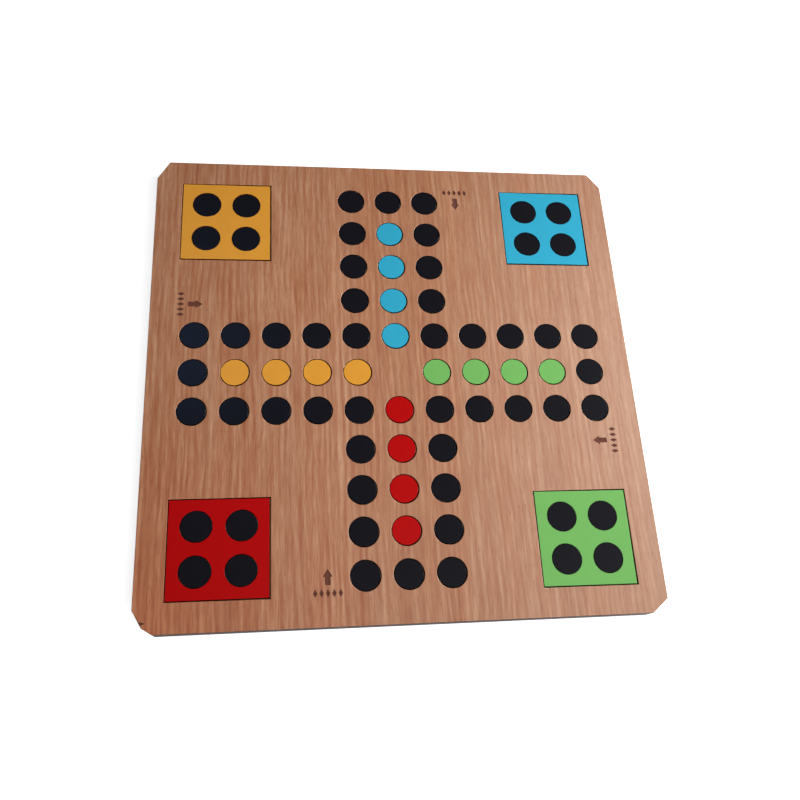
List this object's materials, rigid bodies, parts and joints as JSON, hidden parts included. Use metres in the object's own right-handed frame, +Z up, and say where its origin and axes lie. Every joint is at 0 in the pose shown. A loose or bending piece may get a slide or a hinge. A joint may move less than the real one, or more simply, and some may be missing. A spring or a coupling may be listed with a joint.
{
  "type": "ludo board game",
  "caption": "Flat square wooden ludo board with cut corners, flush coloured and black discs in a cross-shaped track, and a coloured yard plate in each corner.",
  "frame": {"origin": "under the middle of the board, on its underside", "axes": "+Z up through the play face, +Y from the red player's side to the blue player's side"},
  "size_m": [0.305, 0.305, 0.0113],
  "materials": {
    "oiled_beech": "oiled, satin, fine straight grain along Y",
    "beech_plywood": "sanded plywood with laser-browned edges",
    "black_acrylic": "cast acrylic, glossy",
    "red_acrylic": "cast acrylic, soft gloss",
    "yellow_acrylic": "cast acrylic, soft gloss",
    "blue_acrylic": "cast acrylic, soft gloss",
    "green_acrylic": "cast acrylic, soft gloss"
  },
  "bodies": {
    "root": {"base_panel": "beech_plywood", "top_panel": "oiled_beech", "yard_plate_red": "red_acrylic", "yard_plate_yellow": "yellow_acrylic", "yard_plate_blue": "blue_acrylic", "yard_plate_green": "green_acrylic", "home_disc_red_1": "red_acrylic", "home_disc_red_2": "red_acrylic", "home_disc_red_3": "red_acrylic", "home_disc_red_4": "red_acrylic", "home_disc_yellow_1": "yellow_acrylic", "home_disc_yellow_2": "yellow_acrylic", "home_disc_yellow_3": "yellow_acrylic", "home_disc_yellow_4": "yellow_acrylic", "home_disc_blue_1": "blue_acrylic", "home_disc_blue_2": "blue_acrylic", "home_disc_blue_3": "blue_acrylic", "home_disc_blue_4": "blue_acrylic", "home_disc_green_1": "green_acrylic", "home_disc_green_2": "green_acrylic", "home_disc_green_3": "green_acrylic", "home_disc_green_4": "green_acrylic", "track_disc_02": "black_acrylic", "track_disc_03": "black_acrylic", "track_disc_04": "black_acrylic", "track_disc_05": "black_acrylic", "track_disc_06": "black_acrylic", "track_disc_07": "black_acrylic", "track_disc_08": "black_acrylic", "track_disc_09": "black_acrylic", "track_disc_10": "black_acrylic", "track_disc_12": "black_acrylic", "track_disc_13": "black_acrylic", "track_disc_14": "black_acrylic", "track_disc_15": "black_acrylic", "track_disc_16": "black_acrylic", "track_disc_17": "black_acrylic", "track_disc_18": "black_acrylic", "track_disc_19": "black_acrylic", "track_disc_20": "black_acrylic", "track_disc_22": "black_acrylic", "track_disc_23": "black_acrylic", "track_disc_24": "black_acrylic", "track_disc_25": "black_acrylic", "track_disc_26": "black_acrylic", "track_disc_27": "black_acrylic", "track_disc_28": "black_acrylic", "track_disc_29": "black_acrylic", "track_disc_30": "black_acrylic", "track_disc_32": "black_acrylic", "track_disc_33": "black_acrylic", "track_disc_34": "black_acrylic", "track_disc_35": "black_acrylic", "track_disc_36": "black_acrylic", "track_disc_37": "black_acrylic", "track_disc_38": "black_acrylic", "track_disc_39": "black_acrylic", "track_disc_40": "black_acrylic"}
  },
  "joints": []
}
